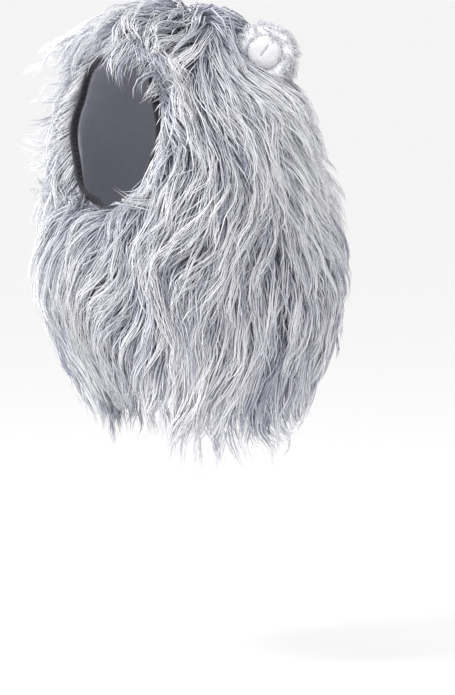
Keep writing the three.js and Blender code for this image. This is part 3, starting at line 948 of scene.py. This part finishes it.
def faces_of(made):
    """Centres, normals and areas of a mesh's faces."""
    polygons = made.data.polygons
    centre, normal, area = np.empty(3 * len(polygons)), np.empty(3 * len(polygons)), np.empty(len(polygons))
    polygons.foreach_get("center", centre)
    polygons.foreach_get("normal", normal)
    polygons.foreach_get("area", area)
    return centre.reshape(-1, 3), normal.reshape(-1, 3), area


def ear_hair(body, name, side):
    """Short hair that stands off the ear's rim and back, swirls in tufts and leans over its pad's edge."""
    rng = np.random.default_rng(40 + side)
    place = EAR_PLACES[name]
    turn = np.array(place)[:3, :3]
    centres, normals, areas = faces_of(body)
    local = moved(centres, place.inverted())
    facing = normals @ turn
    on_pad = (np.hypot(local[:, 0], local[:, 2] - EAR_DISC) < PAD_RADIUS - 1 * MM) & (local[:, 1] < 0)
    weight = areas * ~on_pad * (local[:, 2] > EAR_FOOT)
    pick = rng.choice(len(centres), EAR_HAIRS, p=weight / weight.sum())
    root, normal = local[pick], facing[pick]
    none = np.zeros(EAR_HAIRS)
    radial = unit(np.stack([root[:, 0], none, root[:, 2] - EAR_DISC], -1))
    swirl = np.stack([-radial[:, 2], none, radial[:, 0]], -1)
    tuft = ripple(root, 11 * MM, 61)[:, None]
    from_pad = np.hypot(root[:, 0], root[:, 2] - EAR_DISC)[:, None] - PAD_RADIUS
    over_pad = (1 - smooth(from_pad, 2 * MM, 7 * MM)) * (root[:, 1:2] < 0)
    way = (0.55 + 0.4 * over_pad) * normal + (0.55 - 0.95 * over_pad) * radial + 0.45 * tuft * swirl
    way = unit(way + rng.normal(0, 0.13, (EAR_HAIRS, 3)))
    length = rng.uniform(*EAR_HAIR_LENGTHS, EAR_HAIRS)[:, None, None]
    t = np.linspace(0, 1, EAR_HAIR_STEPS + 1)[None, :, None]
    droop = 0.55 * swirl * ripple(root, 24 * MM, 62)[:, None] + [0, 0.2, -0.4]
    droop = droop + 0.12 * rng.normal(size=(EAR_HAIRS, 3))
    path = (root - 1 * MM * normal)[:, None] + length * (way[:, None] * t + droop[:, None] * t**2)
    across, out = sides_of(path, normal[:, None] + 1e-3)
    radius = EAR_HAIR_RADIUS * rng.uniform(0.6, 1.2, EAR_HAIRS)[:, None] * (1 - 0.75 * t[..., 0] ** 2)
    tint = np.clip(0.5 + 0.12 * tuft[:, 0] + rng.normal(0, 0.05, EAR_HAIRS), *TINT_RANGE)
    hair = hair_object(f"ear_hair_{name}", moved(path, place), across @ turn.T, out @ turn.T, radius, tint)
    dress(hair, "fur", material=ear_fur)


def pad_crease(ball):
    """How deep the pad's slanting crease is at points of a unit ball: a narrow fold in a wide dip."""
    slant = math.radians(12)
    along = ball[:, 0] * math.sin(slant) + ball[:, 2] * math.cos(slant)
    aside = ball[:, 0] * math.cos(slant) - ball[:, 2] * math.sin(slant)
    depth = 3.6 * MM * bell(aside, 0.06) + 0.5 * MM * bell(aside, 0.3)
    return depth * smooth(0.55 - np.abs(along), 0, 0.3) * (ball[:, 1] < 0)


def ear_plush(name):
    """The pad in the ear's front: a soft dome with a slanting crease and tufted plush."""
    rings, columns = 47, 120
    inset = 0.6 * MM
    u = np.linspace(0, math.pi, rings + 2)[1:-1]
    v = 2 * math.pi * np.arange(columns) / columns
    uu, vv = np.meshgrid(u, v, indexing="ij")
    ball = np.stack([np.sin(uu) * np.cos(vv), -np.cos(uu), np.sin(uu) * np.sin(vv)], -1).reshape(-1, 3)
    ball = np.vstack([ball, [[0, -1, 0], [0, 1, 0]]])
    tufts = 0.14 * MM * ripple(ball, 0.5, 51) + 0.12 * MM * ripple(ball, 0.12, 52)
    points = ball * [PAD_RADIUS - inset, PAD_DEPTH - inset, PAD_RADIUS - inset]
    points = points + ball * (tufts * smooth(-ball[:, 1], 0, 0.4))[:, None]
    points = points + [0, -EAR_THICKNESS / 2, EAR_DISC]
    points[:, 1] += pad_crease(ball)
    quads = ring_quads(rings, columns, closed=False)
    c = np.arange(columns)
    beside = (c + 1) % columns
    front, last = rings * columns, (rings - 1) * columns
    triangles = np.concatenate([
        quads[:, [0, 1, 2]],
        quads[:, [0, 2, 3]],
        np.stack([np.full(columns, front), c, beside], -1),
        np.stack([np.full(columns, front + 1), last + beside, last + c], -1),
    ])
    made = mesh_object(f"ear_plush_{name}", moved(points, EAR_PLACES[name]), triangles)
    dress(made, "plush", f"inner_ear_{name}", material=plush)


def ears():
    for name, side in SIDES.items():
        made = soft_copy(f"ear_{name}", f"ear_body_{name}", 1.8 * MM)
        dress(made, "fur", f"ear_{name}", material=ear_wool)
        ear_hair(made, name, side)
        ear_plush(name)


# Studio

def studio():
    scene = bpy.context.scene
    sin_a, cos_a = math.sin(CAMERA_AZIMUTH), math.cos(CAMERA_AZIMUTH)
    sin_e, cos_e = math.sin(CAMERA_ELEVATION), math.cos(CAMERA_ELEVATION)
    right = Vector((cos_a, sin_a, 0))
    up = Vector((-sin_a * sin_e, cos_a * sin_e, cos_e))
    back = Vector((sin_a * cos_e, -cos_a * cos_e, sin_e))
    photo_camera(scene, right, up, back)
    for name, (aside, above, near), size, power in LIGHTS:
        place = right * aside + up * above + back * near
        area_light(scene, name, Vector(LIT_PLACE), place, size, power)
    world = bpy.data.worlds.new("studio")
    scene.world = world
    world.use_nodes = True
    world.node_tree.nodes["Background"].inputs["Color"].default_value = (1, 1, 1, 1)
    world.node_tree.nodes["Background"].inputs["Strength"].default_value = 1.0
    pale_floor(scene)
    scene.view_settings.view_transform = "Standard"


def photo_camera(scene, right, up, back):
    from_middle = [PHOTO_WIDTH / 2 - ORIGIN_PIXEL[0], PHOTO_HEIGHT / 2 - ORIGIN_PIXEL[1]]
    target = right * from_middle[0] * PIXEL - up * from_middle[1] * PIXEL
    camera = bpy.data.objects.new("camera", bpy.data.cameras.new("camera"))
    scene.collection.objects.link(camera)
    camera.location = target + back * CAMERA_DISTANCE
    camera.rotation_mode = "QUATERNION"
    camera.rotation_quaternion = (-back).to_track_quat("-Z", "Y")
    camera.data.sensor_fit = "VERTICAL"
    camera.data.sensor_height = SENSOR_HEIGHT
    camera.data.lens = SENSOR_HEIGHT * CAMERA_DISTANCE / (PHOTO_HEIGHT * PIXEL)
    camera.data.clip_end = CLIP_END
    scene.camera = camera


def area_light(scene, name, middle, place, size, power):
    """A round lamp at a place beside the object's middle, turned towards it."""
    light = bpy.data.lights.new(name, "AREA")
    light.shape = "DISK"
    light.size = size
    light.energy = power
    lamp = bpy.data.objects.new(name, light)
    scene.collection.objects.link(lamp)
    lamp.location = middle + place
    lamp.rotation_mode = "QUATERNION"
    lamp.rotation_quaternion = (middle - lamp.location).to_track_quat("-Z", "Y")


def pale_floor(scene):
    turn = 2 * math.pi * np.arange(FLOOR_SIDES) / FLOOR_SIDES
    level = np.full(FLOOR_SIDES, -FLOOR_DROP)
    rim = np.stack([FLOOR_RADIUS * np.cos(turn), FLOOR_RADIUS * np.sin(turn), level], -1)
    floor = bpy.data.objects.new("floor", bpy.data.meshes.new("floor"))
    floor.data.from_pydata(rim.tolist(), [], [list(range(FLOOR_SIDES))])
    scene.collection.objects.link(floor)
    material, _, shader = new_material("pale_floor", 0.8)
    shader.inputs["Base Color"].default_value = (0.9, 0.9, 0.9, 1)
    floor.data.materials.append(material)


studio()
cloth = hood_backing()
band = elastic_band()
under_layer()
ears()
short_hair()
rim_hair()
mane_hair()
